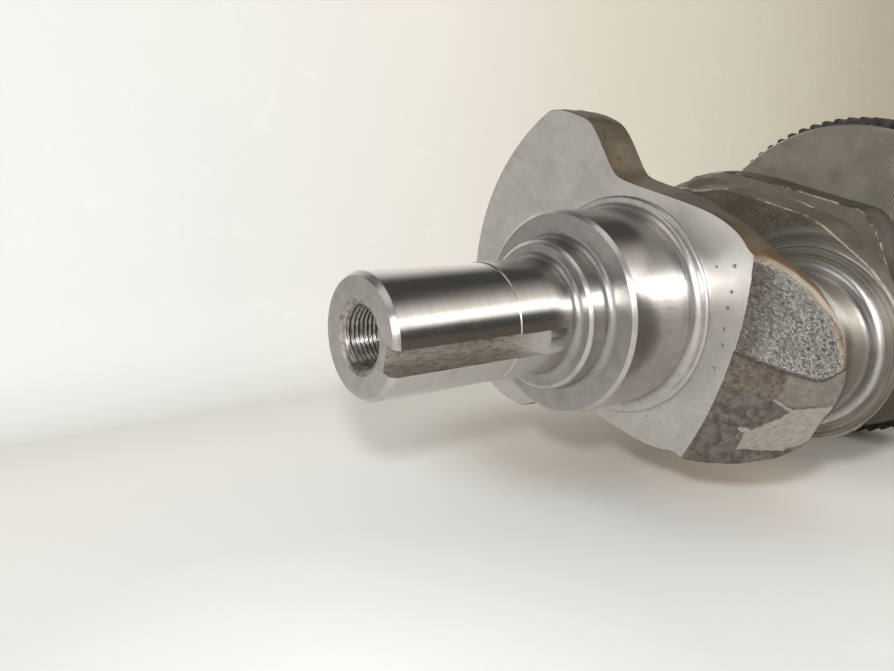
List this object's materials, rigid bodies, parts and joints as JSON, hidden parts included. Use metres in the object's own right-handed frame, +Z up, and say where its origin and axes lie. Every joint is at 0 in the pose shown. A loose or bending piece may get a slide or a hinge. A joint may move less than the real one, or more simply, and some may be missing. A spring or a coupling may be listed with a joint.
{
  "type": "crankshaft",
  "caption": "Forged two-throw crankshaft with keyed snout, ground journals, one counterweighted web, toothed drive ring, flywheel flange and pilot bearing.",
  "frame": {"origin": "centre of the front main journal, on the crank axis", "axes": "+X along the crank axis from the snout to the flywheel flange, +Z up as the shaft lies on a bench, with the first crankpin towards -Y and 16 degrees below level"},
  "size_m": [0.2653, 0.1194, 0.1148],
  "materials": {
    "forged_steel": "ground journals, milled web faces, forged rims",
    "gear_steel": "dark, oiled",
    "hardened_pin": "ground",
    "plug_steel": "black oxide",
    "bearing_steel": "polished",
    "ball_steel": "mirror",
    "cage_steel": "pressed sheet",
    "seal_rubber": "matt"
  },
  "bodies": {
    "crank": {"crank_forging": "forged_steel", "gear_ring": "gear_steel", "gear_ring_pin": "hardened_pin", "oil_plug_front": "plug_steel", "oil_plug_rear": "plug_steel", "flywheel_dowel": "hardened_pin", "pilot_outer_ring": "bearing_steel", "pilot_seal_front": "seal_rubber", "pilot_seal_rear": "seal_rubber"},
    "pilot_inner": {"pilot_inner_ring": "bearing_steel"},
    "pilot_ball_set": {"pilot_balls": "ball_steel", "pilot_cage_front": "cage_steel", "pilot_cage_rear": "cage_steel", "pilot_cage_rivets": "cage_steel"}
  },
  "joints": [
    {"name": "pilot_spin", "type": "hinge", "parent": "crank", "child": "pilot_inner", "pos_m": [0.1855, 0, 0], "axis": [1, 0, 0], "continuous": true},
    {"name": "pilot_ball_orbit", "type": "hinge", "parent": "crank", "child": "pilot_ball_set", "pos_m": [0.1855, 0, 0], "axis": [1, 0, 0], "continuous": true}
  ],
  "couplings": [
    {"joint": "pilot_ball_orbit", "follows": "pilot_spin", "ratio": 0.381}
  ]
}
